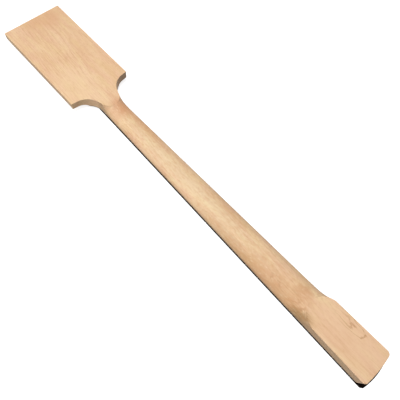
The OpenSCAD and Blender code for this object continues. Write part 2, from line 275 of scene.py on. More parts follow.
# The sanded edges: the back's fades out within 1.5 mm of carving, and the face's ends at the ramp.
# The middle of such a round lies 0.3 of its radius inside both faces.
edge_ease, ease_fades, ease_ends, ease_middle = 0.7, 1.5, -13, 0.3
back_rows, front_rows, walls = [], [], ([], [])
for pair in zip(*outlines):
    eased = []
    for point, out, bulge in pair:
        carved = blank_t - back_z(point.x, point.y)
        top_ease = edge_ease * max(0, 1 - carved / ease_fades)
        low_ease = edge_ease if point.x < ease_ends else 0
        eased.append((point - out * top_ease, point - out * low_ease, top_ease, low_ease))
    back_x, front_x = ((eased[0][i].x + eased[1][i].x) / 2 for i in (0, 1))
    back, front = [], []
    for side, (point, out, bulge), (rim, low, top_ease, low_ease) in zip((1, -1), pair, eased):
        half = []
        for s in half_row(rim):
            x = back_x + (rim.x - back_x) * s
            half.append(vertex(x + bulge * (1 - s * s), side * rim.y * s, back_z(x, rim.y * s)))
        back.append(half)
        half = []
        for s in [1 - i / flat_steps for i in range(flat_steps + 1)]:
            x = front_x + (low.x - front_x) * s
            half.append(vertex(x + bulge * (1 - s * s), side * low.y * s, front_z(x)))
        front.append(half)
        top, bottom = back_z(rim.x, rim.y), front_z(point.x)
        wall = [(rim, top), (point - out * top_ease * ease_middle, top - top_ease * ease_middle),
                (point, top - top_ease), (point, bottom + low_ease),
                (point - out * low_ease * ease_middle, bottom + low_ease * ease_middle),
                (low, front_z(low.x))]
        walls[side < 0].append([vertex(p.x, side * p.y, z) for p, z in wall])
    back_rows.append(back[0] + back[1][-2::-1])
    front_rows.append(front[0] + front[1][-2::-1])
for rows, turned in ((back_rows, False), (front_rows, True), (walls[0], True), (walls[1], False)):
    skin(rows, turned)
# The two ends, column by column, with the same eased edges
steps = ((edge_ease, 0), (edge_ease * ease_middle, edge_ease * ease_middle), (0, edge_ease))
for end in (0, -1):
    point, out, bulge = outlines[0][end]
    low_ease = edge_ease if end == 0 else 0
    width = point.y
    rim_y, low_y = (point - out * edge_ease).y, (point - out * low_ease).y
    floor_z = front_z(point.x)
    columns = []
    for i in range(2 * flat_steps + 1):
        s = 1 - i / flat_steps
        x = point.x + bulge * (1 - s * s)
        back = [(x - out.x * inset, (rim_y + (width - rim_y) * (1 - inset / edge_ease)) * s, blank_t - drop)
                for inset, drop in steps]
        front = [(x - out.x * inset, (low_y + (width - low_y) * (1 - inset / edge_ease)) * s, floor_z + drop)
                 for inset, drop in reversed(steps)] if low_ease else [(x, width * s, floor_z)]
        columns.append([vertex(*p) for p in back + front])
    skin(columns, end != 0)


def laid_out(name, data):
    """A new object in the scene that holds this mesh, lamp or camera."""
    made = bpy.data.objects.new(name, data)
    bpy.context.scene.collection.objects.link(made)
    return made


neck_mesh = bpy.data.meshes.new("neck_blank")
neck_mesh.from_pydata(points, [], faces)
neck = laid_out("neck_of_maple", neck_mesh)


def routed(name, start, end, width, depth):
    """A slot with round ends, routed into the neck from its glue line: returns its cutter."""
    r, rounds, low, high = width / 2, 24, board_t - 1, board_t + depth
    half_turn = [math.pi * i / rounds for i in range(rounds + 1)]
    rim = [(end - r + r * math.sin(a), r * math.cos(a)) for a in half_turn]
    rim += [(start + r - r * math.sin(a), -r * math.cos(a)) for a in half_turn]
    n = len(rim)
    mesh = bpy.data.meshes.new(name)
    mesh.from_pydata([placed(x, y, z) for z in (low, high) for x, y in rim], [],
                     [list(range(n)), list(range(2 * n - 1, n - 1, -1))]
                     + [(i, n + i, n + (i + 1) % n, (i + 1) % n) for i in range(n)])
    cutter = laid_out(name, mesh)
    cut = neck.modifiers.new(name, "BOOLEAN")
    cut.operation, cut.solver, cut.object = "DIFFERENCE", "EXACT", cutter
    return cutter


# A narrow channel for the truss rod, and the wider access slot that opens in the headstock's face
channel_end = (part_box("truss_rod")[1].x - nut_line) / mm + 3.25
cutters = [routed("channel", start=-1.0, end=channel_end, width=6.5, depth=10.1),
           routed("access", start=-46.0, end=8.0, width=9.0, depth=8.7)]
bpy.context.view_layer.update()
cut_mesh = bpy.data.meshes.new_from_object(neck.evaluated_get(bpy.context.evaluated_depsgraph_get()))
neck.modifiers.clear()
neck.data = cut_mesh
for cutter in cutters:
    bpy.data.objects.remove(cutter)
cut_mesh.shade_smooth()
cut_mesh.set_sharp_from_angle(angle=math.radians(19))


def linear(hexa):
    """An sRGB hex colour as linear red, green, blue and alpha."""
    parts = [int(hexa[i:i + 2], 16) / 255 for i in (0, 2, 4)]
    return [c / 12.92 if c <= 0.04045 else ((c + 0.055) / 1.055) ** 2.4 for c in parts] + [1.0]


def add(tree, kind, wires=None, stops=None, **settings):
    """Adds a node: wires fills its inputs with values, other nodes' outputs or formulas such as
    ("ADD", a, b), which become Math nodes, and stops fills its colour ramp."""
    made = tree.nodes.new(kind)
    for key, value in settings.items():
        setattr(made, key, value)
    for key, value in (wires or {}).items():
        if isinstance(value, tuple) and isinstance(value[0], str):
            value = add(tree, "ShaderNodeMath", dict(enumerate(value[1:])), operation=value[0]).outputs[0]
        if isinstance(value, bpy.types.NodeSocket):
            tree.links.new(value, made.inputs[key])
        else:
            made.inputs[key].default_value = value
    if stops:
        ramp = made.color_ramp
        for i, (at, colour) in enumerate(stops):
            stop = ramp.elements[i] if i < 2 else ramp.elements.new(at)
            stop.position, stop.color = at, colour
    return made


def new_finish(name):
    """A material and its empty tree."""
    made = bpy.data.materials.new(name)
    made.use_nodes = True
    made.node_tree.nodes.clear()
    return made, made.node_tree


# Hard maple, flat sawn and sanded, with no finish: cream to tan in soft clouds, thin darker growth
# lines, short fibres and flecks, redder heartwood in places, and a dull sheen.
maple, t = new_finish("hard_maple_sanded")
place = add(t, "ShaderNodeTexCoord")
# The grain wanders a few mm over a hand's breadth
slow = add(t, "ShaderNodeMapping", {"Vector": place.outputs["Object"], "Scale": (5, 22, 22)})
wander = add(t, "ShaderNodeTexNoise", {"Vector": slow.outputs["Vector"], "Scale": 1.0, "Detail": 2.0,
                                       "Roughness": 0.45})
shift = add(t, "ShaderNodeVectorMath", {0: wander.outputs["Color"], 1: (0.5, 0.5, 0.5)},
            operation="SUBTRACT")
push = add(t, "ShaderNodeVectorMath", {0: shift.outputs[0], 1: (0.0, 0.018, 0.014)}, operation="MULTIPLY")
bent = add(t, "ShaderNodeVectorMath", {0: place.outputs["Object"], 1: push.outputs[0]}, operation="ADD")
# Clouds 90 mm long and 26 mm wide from tan to cream, and 40 by 11 mm from yellowish to pinkish
cloud_at = add(t, "ShaderNodeMapping", {"Vector": bent.outputs[0], "Scale": (11, 38, 38)})
cloud = add(t, "ShaderNodeTexNoise", {"Vector": cloud_at.outputs["Vector"], "Scale": 1.0, "Detail": 4.0,
                                      "Roughness": 0.6})
body = add(t, "ShaderNodeValToRGB", {"Fac": cloud.outputs["Fac"]},
           stops=[(0.30, linear("E0B68C")), (0.70, linear("F0D2AA")), (0.50, linear("E9C49C"))])
blush_at = add(t, "ShaderNodeMapping", {"Vector": bent.outputs[0], "Scale": (26, 90, 90),
                                        "Location": (0.7, 0.2, 0.4)})
blush = add(t, "ShaderNodeTexNoise", {"Vector": blush_at.outputs["Vector"], "Scale": 1.0, "Detail": 3.0})
hue = add(t, "ShaderNodeValToRGB", {"Fac": blush.outputs["Fac"]},
          stops=[(0.36, linear("E9CA98")), (0.64, linear("EBC0A2"))])
blushed = add(t, "ShaderNodeMix", {0: 0.45, 6: body.outputs["Color"], 7: hue.outputs["Color"]},
              data_type="RGBA")
# Growth rings 3.4 mm apart round a pith that runs beside the blank and leans to it, each as strong
# as it happens to be, and fading out in patches
pith = add(t, "ShaderNodeMapping", {"Vector": bent.outputs[0], "Location": (0, -0.040, 0.060),
                                    "Rotation": (0, math.radians(1.2), math.radians(2.6))})
flat = add(t, "ShaderNodeVectorMath", {0: pith.outputs["Vector"], 1: (0, 1, 1)}, operation="MULTIPLY")
radius = add(t, "ShaderNodeVectorMath", {0: flat.outputs[0]}, operation="LENGTH")
ring_gap = 3.4 * mm
rings = add(t, "ShaderNodeMath", {0: radius.outputs["Value"], 1: ring_gap}, operation="DIVIDE")
strength = add(t, "ShaderNodeTexWhiteNoise", {"W": ("FLOOR", rings.outputs[0])}, noise_dimensions="1D")
line = add(t, "ShaderNodeValToRGB", {"Fac": ("FRACT", rings.outputs[0])},
           stops=[(0.0, (0.35, 0.35, 0.35, 1)), (1.0, (1, 1, 1, 1)), (0.12, (0, 0, 0, 1)),
                  (0.62, (0.12, 0.12, 0.12, 1))])
patchy = add(t, "ShaderNodeMapRange", {"Value": blush.outputs["Fac"], "From Min": 0.38, "From Max": 0.62})
clear = ("MULTIPLY", ("ADD", ("MULTIPLY", strength.outputs["Value"], 0.5), 0.15), patchy.outputs["Result"])
ringed = add(t, "ShaderNodeMix", {0: ("MULTIPLY", line.outputs["Color"], clear), 6: blushed.outputs[2],
                                  7: linear("CB9C6E")}, data_type="RGBA")
# Fibres, 1 to 2 mm wide and some 30 mm long, drawn coarser than the real ones so that they show, and
# crowded in some places
fibre_at = add(t, "ShaderNodeMapping", {"Vector": bent.outputs[0], "Scale": (32, 540, 540)})
fibre = add(t, "ShaderNodeTexNoise", {"Vector": fibre_at.outputs["Vector"], "Scale": 1.0, "Detail": 4.0,
                                      "Roughness": 0.6})
streak = add(t, "ShaderNodeMapRange", {"Value": fibre.outputs["Fac"], "From Min": 0.38, "From Max": 0.68,
                                       "To Min": 0.0, "To Max": 0.52})
crowd = add(t, "ShaderNodeMapRange", {"Value": cloud.outputs["Fac"], "From Min": 0.62, "From Max": 0.38,
                                      "To Min": 0.35, "To Max": 1.0})
streaked = add(t, "ShaderNodeMix", {0: ("MULTIPLY", streak.outputs["Result"], crowd.outputs["Result"]),
                                    6: ringed.outputs[2], 7: linear("CC9D73")}, data_type="RGBA")
# Ray flecks, 5 mm long
fleck_at = add(t, "ShaderNodeMapping", {"Vector": place.outputs["Object"], "Scale": (150, 900, 900)})
fleck = add(t, "ShaderNodeTexNoise", {"Vector": fleck_at.outputs["Vector"], "Scale": 1.0, "Detail": 2.0})
mark = add(t, "ShaderNodeMapRange", {"Value": fleck.outputs["Fac"], "From Min": 0.56, "From Max": 0.74,
                                     "To Min": 0.0, "To Max": 0.45})
flecked = add(t, "ShaderNodeMix", {0: mark.outputs["Result"], 6: streaked.outputs[2], 7: linear("BC8B62")},
              data_type="RGBA")


def from_middle(middle, reach):
    """Where a point lies from a middle, as shares of a reach: both in mm, along and across."""
    x, y, _ = placed(*middle, 0)
    moved = add(t, "ShaderNodeVectorMath", {0: bent.outputs[0], 1: (x, y, 0)}, operation="SUBTRACT")
    shares = (1 / reach[0] / mm, 1 / reach[1] / mm, 0)
    return add(t, "ShaderNodeVectorMath", {0: moved.outputs[0], 1: shares}, operation="MULTIPLY").outputs[0]


# Browner heartwood on the treble side before the heel, redder wood behind the tongue, on the pad and at
# the headstock's end; creamier sapwood along the middle of the neck and by the shoulder. Painted shade
# darkens the treble flank of the shaft, the scoop before the nose and the nose's steep treble side, and
# the patch in the tongue's scoop is part redder wood and part painted shade. Each patch has a middle, a
# reach, a strength and a tint.
tinted_and_shaded = flecked.outputs[2]
for middle, reach, most, tint in (
        # Painted shade: the patches at (484, -25), (466, -3) and (320, -21), and in part the one at (38, 2)
        ((412, -21), (100, 18), 0.55, "BB8856"), ((484, -25), (24, 10), 0.85, "9C7648"),
        ((466, -3), (20, 26), 0.55, "C48E60"), ((320, -21), (80, 9), 0.40, "B89060"),
        ((38, 2), (26, 22), 0.75, "CF946A"), ((90, 12), (60, 9), 0.45, "D79C6C"),
        ((-216, 22), (34, 52), 0.42, "D7A377"), ((-60, 34), (110, 24), 0.20, "DDAE80"),
        ((215, -5), (215, 19), 0.36, "DFD2A9"), ((550, -26), (70, 5), 0.25, "F5D9AE"),
        ((552, 4), (80, 40), 0.62, "E9C09B"), ((-40, -30), (80, 44), 0.32, "F4D8AE")):
    near = add(t, "ShaderNodeVectorMath", {0: from_middle(middle, reach)}, operation="LENGTH")
    patch = add(t, "ShaderNodeMapRange", {
        "Value": ("ADD", near.outputs["Value"], ("MULTIPLY", ("SUBTRACT", fibre.outputs["Fac"], 0.5), 1.6)),
        "From Min": 1.1, "From Max": 0.3, "To Min": 0.0, "To Max": most}, interpolation_type="SMOOTHSTEP")
    tinted_and_shaded = add(t, "ShaderNodeMix", {0: patch.outputs["Result"], 6: tinted_and_shaded, 7: linear(tint)},
                 data_type="RGBA").outputs[2]
# Figure: brown and cream marks some 10 mm long, stronger where the carving cuts through the layers,
# which is all that lies 2 mm or more under the flats
spot = add(t, "ShaderNodeSeparateXYZ", {"Vector": place.outputs["Object"]})
carved = add(t, "ShaderNodeMapRange", {
    "Value": spot.outputs["Z"], "From Min": neck_box[1].z - 0.1 * mm,
    "From Max": neck_box[1].z - 2 * mm, "To Min": 0.30, "To Max": 1.0})
figure_at = add(t, "ShaderNodeMapping", {"Vector": bent.outputs[0], "Scale": (110, 270, 270)})
figure = add(t, "ShaderNodeTexNoise", {"Vector": figure_at.outputs["Vector"], "Scale": 1.0, "Detail": 4.0,
                                       "Roughness": 0.75})
figured = tinted_and_shaded
for start, full, most, tint in ((0.48, 0.72, 0.60, "CE9A6C"), (0.46, 0.28, 0.36, "F7E0BA")):
    part = add(t, "ShaderNodeMapRange", {"Value": figure.outputs["Fac"], "From Min": start, "From Max": full,
                                         "To Min": 0.0, "To Max": most})
    figured = add(t, "ShaderNodeMix", {0: ("MULTIPLY", part.outputs["Result"], carved.outputs["Result"]),
                                       6: figured, 7: linear(tint)}, data_type="RGBA").outputs[2]
# Where the growth rings dome up under the heel's pad and beside its nose, the cut leaves thin brown
# loops, one in the other at 0.55 of its reach: those of the pad are stronger at the heel's end
for middle, reach, most, start in (((528, 20), (38, 9.5), 0.7, 0.15), ((448, -14), (34, 6.0), 0.55, 0.8)):
    away = from_middle(middle, reach)
    toward = add(t, "ShaderNodeSeparateXYZ", {"Vector": away})
    loop = add(t, "ShaderNodeVectorMath", {0: away}, operation="LENGTH")
    wavy = ("ADD", loop.outputs["Value"],
            ("ADD", ("MULTIPLY", ("SUBTRACT", blush.outputs["Fac"], 0.5), 1.5),
             ("MULTIPLY", ("SUBTRACT", figure.outputs["Fac"], 0.5), 0.35)))
    traced = add(t, "ShaderNodeMapRange", {
        "Value": ("MINIMUM", ("ABSOLUTE", ("SUBTRACT", wavy, 1.0)), ("ABSOLUTE", ("SUBTRACT", wavy, 0.55))),
        "From Min": 0.07, "From Max": 0.0, "To Min": 0.0, "To Max": most})
    fading = add(t, "ShaderNodeMapRange", {"Value": toward.outputs["X"], "From Min": -0.5, "From Max": 0.5,
                                           "To Min": start, "To Max": 1.0})
    figured = add(t, "ShaderNodeMix", {0: ("MULTIPLY", traced.outputs["Result"], fading.outputs["Result"]),
                                       6: figured, 7: linear("AE7B4C")}, data_type="RGBA").outputs[2]
# End grain drinks the light and is darker. The upright sides are darkened as painted shade, the end grain
# in the bass side's cove more as painted shade, and the maple over the first 3 mm from the glue line is
# painted darker towards the fingerboard, near black, as painted shade along the joint.
facing = add(t, "ShaderNodeSeparateXYZ", {"Vector": place.outputs["Normal"]})
endness = add(t, "ShaderNodeMapRange", {"Value": ("ABSOLUTE", facing.outputs["X"]), "From Min": 0.35,
                                        "From Max": 1.0, "To Min": 0.0, "To Max": 0.3})
# Painted shade on the sides that face straight across the neck
painted_side_shade = add(t, "ShaderNodeMapRange", {"Value": ("ABSOLUTE", facing.outputs["Y"]), "From Min": 0.93,
                                     "From Max": 0.99, "To Min": 0.0, "To Max": 0.6})
# Painted shade on the end grain of the bass side's cove wall
painted_cove_shade = add(t, "ShaderNodeMapRange", {"Value": spot.outputs["Y"], "From Min": 0.025, "From Max": 0.045,
                                       "To Min": 0.0, "To Max": 0.6})
walled = add(t, "ShaderNodeMix", {0: ("MAXIMUM", endness.outputs["Result"], painted_side_shade.outputs["Result"]),
                                  6: figured, 7: linear("A6845C")}, data_type="RGBA")
end_grain_and_shade = add(t, "ShaderNodeMix", {
    0: ("MULTIPLY", painted_cove_shade.outputs["Result"], ("MULTIPLY", endness.outputs["Result"], 3.3)),
    6: walled.outputs[2], 7: linear("6B4D34")}, data_type="RGBA")
# Painted shade along the glue line, darker towards the fingerboard
painted_joint_shade = add(t, "ShaderNodeMapRange", {"Value": spot.outputs["Z"], "From Min": neck_box[0].z + 3 * mm,
                                     "From Max": neck_box[0].z, "To Min": 0.0, "To Max": 0.85})
colour = add(t, "ShaderNodeMix", {0: painted_joint_shade.outputs["Result"], 6: end_grain_and_shade.outputs[2], 7: linear("3A2A20")},
             data_type="RGBA")
dull = add(t, "ShaderNodeMapRange", {"Value": fibre.outputs["Fac"], "To Min": 0.52, "To Max": 0.68})
grain = add(t, "ShaderNodeBump", {"Strength": 0.25, "Distance": 0.00012, "Height": fibre.outputs["Fac"]})
wood = add(t, "ShaderNodeBsdfPrincipled", {
    "Base Color": colour.outputs[2], "Roughness": dull.outputs["Result"],
    "Normal": grain.outputs["Normal"], "IOR": 1.5})
add(t, "ShaderNodeOutputMaterial", {"Surface": wood.outputs[0]})
neck.data.materials.clear()
neck.data.materials.append(maple)

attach(neck, "neck")
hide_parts("maple_neck")

# ---------------------------------------------------------------- truss rod
# A steel rod that turns in two brass blocks, over a flat steel bar, in the neck's channel. Its ends
# have a rolled thread, and a black socket nut is brazed on in front, where the key goes in.

# Each metal shows the marks of its making in its colour, its gloss and its relief. They are drawn
# some 0.4 mm apart, coarser than the real ones, so that they show. Each row holds the marks' scale
# and detail, the dark and the light tone, the roughness from and to, and the relief.
metals = {}
for name, marks, detail, dark, light, smooth, rough, (strength, depth) in (
        # Bright drawn steel: a cool grey, with lines along it that stretch its highlights
        ("bright_drawn_steel", (40, 2600, 2600), 3.0, (0.3, "9A9C9E"), (0.7, "B6B8BA"), 0.26, 0.42,
         (0.2, 0.00003)),
        # Black oxide on turned steel: near black and a little blue, with a soft gloss in fine rings
        ("black_oxide_steel", (2200, 300, 300), 2.0, (0.3, "1E1F21"), (0.75, "34363A"), 0.34, 0.5,
         (0.2, 0.00002)),
        # Sawn brass: a warm yellow, brighter and duller in turns across the marks of the saw
        ("sawn_brass", (2400, 240, 240), 3.0, (0.25, "B08D45"), (0.75, "D2B264"), 0.28, 0.46,
         (0.25, 0.00003))):
    metals[name], t = new_finish(name)
    place = add(t, "ShaderNodeTexCoord")
    marked_at = add(t, "ShaderNodeMapping", {"Vector": place.outputs["Object"], "Scale": marks})
    marked = add(t, "ShaderNodeTexNoise", {"Vector": marked_at.outputs["Vector"], "Scale": 1.0,
                                           "Detail": detail})
    tone = add(t, "ShaderNodeValToRGB", {"Fac": marked.outputs["Fac"]},
               stops=[(at, linear(tint)) for at, tint in (dark, light)])
    gloss = add(t, "ShaderNodeMapRange", {"Value": marked.outputs["Fac"], "To Min": smooth, "To Max": rough})
    scratch = add(t, "ShaderNodeBump", {"Strength": strength, "Distance": depth,
                                        "Height": marked.outputs["Fac"]})
    metal = add(t, "ShaderNodeBsdfPrincipled", {
        "Base Color": tone.outputs["Color"], "Metallic": 1.0, "Roughness": gloss.outputs["Result"],
        "Normal": scratch.outputs["Normal"]})
    add(t, "ShaderNodeOutputMaterial", {"Surface": metal.outputs[0]})

# The turning rod with its rolled M5 thread, 0.8 mm to the turn, as one winding groove that runs out
# at its inner ends
rod_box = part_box("truss_rod")
rod_r = (rod_box[1].y - rod_box[0].y) / 2 / mm
rod_start, rod_end = (rod_box[0].x - nut_line) / mm, (rod_box[1].x - nut_line) / mm
rod_z = ((rod_box[0].z + rod_box[1].z) / 2 - crown) / mm
thread_pitch, thread_deep, thread_runout = 0.8, 0.35, 2
front_thread, rear_thread = 24, 22
threads = ((rod_start, rod_start + front_thread), (rod_end - rear_thread, rod_end))
round_steps, pitch_steps, plain_step = 20, 6, 12
along = [rod_start]
while along[-1] < rod_end:
    threaded = any(a - 0.1 <= along[-1] < b for a, b in threads)
    along.append(min(rod_end, along[-1] + (thread_pitch / pitch_steps if threaded else plain_step),
                     *[a for a, b in threads if a > along[-1] + 1e-6]))
points = []
for x in along:
    for k in range(round_steps):
        turn = k / round_steps
        deep = 0
        if any(a <= x <= b for a, b in threads):
            wave = (x / thread_pitch - turn) % 1
            runout = min(1, min(abs(x - end) for end in (threads[0][1], threads[1][0])) / thread_runout)
            deep = thread_deep * runout * (1 - abs(2 * wave - 1))
        r, a = rod_r - deep, 2 * math.pi * turn
        points.append(placed(x, r * math.cos(a), rod_z + r * math.sin(a)))


def lathed(name, points, around, crease):
    """A closed mesh through rings of points, each with as many as around, creased at an angle."""
    rings = range(0, len(points) - around, around)
    faces = [(a + k, a + (k + 1) % around, a + around + (k + 1) % around, a + around + k)
             for a in rings for k in range(around)]
    faces += [list(range(around - 1, -1, -1)), list(range(len(points) - around, len(points)))]
    mesh = bpy.data.meshes.new(name)
    mesh.from_pydata(points, [], faces)
    mesh.shade_smooth()
    mesh.set_sharp_from_angle(angle=math.radians(crease))
    return mesh


rod_mesh = lathed("threaded_rod", points, round_steps, crease=50)
rod_mesh.materials.append(metals["bright_drawn_steel"])
rod = laid_out("truss_rod_threaded", rod_mesh)
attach(rod, "adjusting_rod")
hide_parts("truss_rod")

# The socket nut: turned with a small chamfer, its hexagon broached 4 mm across the flats
nut_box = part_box("truss_rod_adjuster")
nut_start, nut_end = (nut_box[0].x - nut_line) / mm, (nut_box[1].x - nut_line) / mm
nut_r, chamfer, nut_steps = (nut_box[1].y - nut_box[0].y) / 2 / mm, 0.5, 48
hex_flat, hex_deep, hex_mouth, hex_flare = 2, 7, 0.4, 0.35     # hex_flat is half the 4 mm
hex_r = hex_flat / math.cos(math.pi / 6)
bore_r, bore_deep = rod_r + 0.02, 5.02
closed = 0.001                   # the last ring of the socket's and of the bore's bottom
points = []
for x, radius, hexed in (
        (nut_start + hex_deep, closed, False), (nut_start + hex_deep, hex_r, True),
        (nut_start + hex_mouth, hex_r, True), (nut_start, hex_r + hex_flare, False),
        (nut_start, nut_r - chamfer, False), (nut_start + chamfer, nut_r, False),
        (nut_end - chamfer, nut_r, False), (nut_end, nut_r - chamfer, False),
        (nut_end, bore_r, False), (nut_end - bore_deep, bore_r, False),
        (nut_end - bore_deep, closed, False)):
    for k in range(nut_steps):
        a = 2 * math.pi * k / nut_steps
        r = hex_flat / math.cos(a % (math.pi / 3) - math.pi / 6) if hexed else radius
        points.append(placed(x, r * math.cos(a), rod_z + r * math.sin(a)))
nut_mesh = lathed("socket_nut", points, nut_steps, crease=30)
nut_mesh.materials.append(metals["black_oxide_steel"])
socket_nut = laid_out("truss_rod_socket_nut", nut_mesh)
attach(socket_nut, "adjusting_rod")
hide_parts("truss_rod_adjuster")

for name, finish in (("truss_rod_bar", "bright_drawn_steel"), ("truss_rod_front_block", "sawn_brass"),
                     ("truss_rod_rear_block", "sawn_brass")):
    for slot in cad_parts[name].material_slots:
        slot.material = metals[finish]

# ---------------------------------------------------------------- fingerboard
# A 6.35 mm ebony board, planed to a 241 mm radius, slotted for frets and nut, and glued to the
# maple. Its end overhangs the heel.

# Ebony, hand rubbed: near black, with brown streaks 6 mm wide and pores 0.3 mm wide and 2 mm long
ebony, t = new_finish("ebony_rubbed")
place = add(t, "ShaderNodeTexCoord")
vein_at = add(t, "ShaderNodeMapping", {"Vector": place.outputs["Object"], "Scale": (6, 160, 160)})
vein = add(t, "ShaderNodeTexNoise", {"Vector": vein_at.outputs["Vector"], "Scale": 1.0, "Detail": 4.0})
tone = add(t, "ShaderNodeValToRGB", {"Fac": vein.outputs["Fac"]},
           stops=[(0.42, linear("110D0B")), (0.80, linear("2E2019"))])
pore_at = add(t, "ShaderNodeMapping", {"Vector": place.outputs["Object"], "Scale": (420, 3600, 3600)})
pore = add(t, "ShaderNodeTexNoise", {"Vector": pore_at.outputs["Vector"], "Scale": 1.0, "Detail": 1.0})
pit = add(t, "ShaderNodeMapRange", {"Value": pore.outputs["Fac"], "From Min": 0.6, "From Max": 0.7})
pitted = add(t, "ShaderNodeMix", {0: pit.outputs["Result"], 6: tone.outputs["Color"], 7: linear("0C0A09")},
             data_type="RGBA")
dull = add(t, "ShaderNodeMapRange", {"Value": vein.outputs["Fac"], "To Min": 0.5, "To Max": 0.66})
# Only the face that is played is rubbed to a sheen; the sawn edges and the glued side stay dull
facing = add(t, "ShaderNodeSeparateXYZ", {"Vector": place.outputs["Normal"]})
sheen = add(t, "ShaderNodeMapRange", {"Value": facing.outputs["Z"], "From Min": -0.6, "From Max": -0.9,
                                      "To Min": 0.0, "To Max": 0.4})
grain = add(t, "ShaderNodeBump", {"Strength": 0.3, "Distance": 0.00005, "Height": pit.outputs["Result"]},
            invert=True)
wood = add(t, "ShaderNodeBsdfPrincipled", {
    "Base Color": pitted.outputs[2], "Roughness": dull.outputs["Result"], "Normal": grain.outputs["Normal"],
    "IOR": 1.5, "Specular IOR Level": sheen.outputs["Result"]})
add(t, "ShaderNodeOutputMaterial", {"Surface": wood.outputs[0]})
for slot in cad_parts["fingerboard"].material_slots:
    slot.material = ebony

# ---------------------------------------------------------------- frets
# Twenty-one lengths of nickel silver wire, a round crown on a tang, pressed into their slots. Each
# is clipped at the board's edge, bevelled by 35 degrees and polished.

# Nickel silver, polished: a warm silver, nearly a mirror, with hairlines 0.7 mm apart along the wire,
# coarser than the real ones so that they show
nickel, t = new_finish("nickel_silver_polished")
place = add(t, "ShaderNodeTexCoord")
rub_at = add(t, "ShaderNodeMapping", {"Vector": place.outputs["Object"], "Scale": (1500, 60, 1500)})
rub = add(t, "ShaderNodeTexNoise", {"Vector": rub_at.outputs["Vector"], "Scale": 1.0, "Detail": 3.0})
tone = add(t, "ShaderNodeValToRGB", {"Fac": rub.outputs["Fac"]},
           stops=[(0.3, linear("C9C5BA")), (0.7, linear("DEDACF"))])
gloss = add(t, "ShaderNodeMapRange", {"Value": rub.outputs["Fac"], "To Min": 0.12, "To Max": 0.26})
scratch = add(t, "ShaderNodeBump", {"Strength": 0.15, "Distance": 0.00002, "Height": rub.outputs["Fac"]})
metal = add(t, "ShaderNodeBsdfPrincipled", {
    "Base Color": tone.outputs["Color"], "Metallic": 1.0, "Roughness": gloss.outputs["Result"],
    "Normal": scratch.outputs["Normal"]})
add(t, "ShaderNodeOutputMaterial", {"Surface": metal.outputs[0]})


def tree_of(name, sizes):
    """A Geometry Nodes tree with named inputs: returns the tree, its inputs' node and identifiers."""
    tree = bpy.data.node_groups.new(name, "GeometryNodeTree")
    tree.interface.new_socket(name="Geometry", in_out="OUTPUT", socket_type="NodeSocketGeometry")
    ids = {}
    for label, value in sizes.items():
        kind = "NodeSocketInt" if isinstance(value, int) else (
            "NodeSocketMaterial" if isinstance(value, bpy.types.Material) else "NodeSocketFloat")
        ids[label] = tree.interface.new_socket(name=label, in_out="INPUT", socket_type=kind).identifier
    return tree, add(tree, "NodeGroupInput").outputs, ids


def grown(name, tree, ids, sizes):
    """The mesh that a tree makes with these sizes, as a plain object."""
    obj = laid_out(name, bpy.data.meshes.new(name))
    nodes = obj.modifiers.new(name, "NODES")
    nodes.node_group = tree
    for label, value in sizes.items():
        nodes[ids[label]] = value
    bpy.context.view_layer.update()
    mesh = bpy.data.meshes.new_from_object(obj.evaluated_get(bpy.context.evaluated_depsgraph_get()))
    obj.modifiers.clear()
    obj.data = mesh
    return obj


board_radius = 241.3
sizes = {"Count": fret_count, "Scale length": scale_length * mm, "Nut half width": nut_half * mm,
         "Taper": taper, "Board radius": board_radius * mm, "Crown width": 2.6 * mm,
         "Crown height": 1.1 * mm, "Tang width": 0.6 * mm, "Tang depth": 2.0 * mm,
         "End bevel": math.tan(math.radians(35)), "Nut line": nut_line, "Crown line": crown,
         "Finish": nickel}
tree, given, ids = tree_of("fretting", sizes)
spots = add(tree, "GeometryNodeMeshLine", {"Count": given["Count"], "Offset": (0, 0, 0)})
number = add(tree, "GeometryNodeInputIndex").outputs[0]
fret_at = ("MULTIPLY", given["Scale length"],
           ("SUBTRACT", 1.0, ("POWER", 2.0, ("DIVIDE", ("ADD", number, 1.0), -12.0))))
spaced = add(tree, "GeometryNodeSetPosition", {"Geometry": spots.outputs[0], "Position": add(
    tree, "ShaderNodeCombineXYZ", {"X": fret_at}).outputs[0]})
# Where a point is on the shape that is being moved
at = add(tree, "ShaderNodeSeparateXYZ", {"Vector": add(tree, "GeometryNodeInputPosition").outputs[0]}).outputs
# One fret, straight: its length runs from -1 to 1 along Y, its height up along Z
bar = add(tree, "GeometryNodeMeshCylinder", {"Vertices": 28, "Side Segments": 36, "Radius": 1.0,
                                             "Depth": 2.0})
lying = add(tree, "GeometryNodeTransform", {"Geometry": bar.outputs[0],
                                            "Rotation": Euler((math.radians(90), 0, 0))})
crowned = add(tree, "GeometryNodeSetPosition", {"Geometry": lying.outputs[0], "Position": add(
    tree, "ShaderNodeCombineXYZ", {
        "X": ("MULTIPLY", at["X"], ("DIVIDE", given["Crown width"], 2.0)), "Y": at["Y"],
        "Z": ("MULTIPLY", ("MAXIMUM", at["Z"], 0.0), given["Crown height"])}).outputs[0]})
rounded = add(tree, "GeometryNodeSetShadeSmooth", {"Geometry": crowned.outputs[0]})
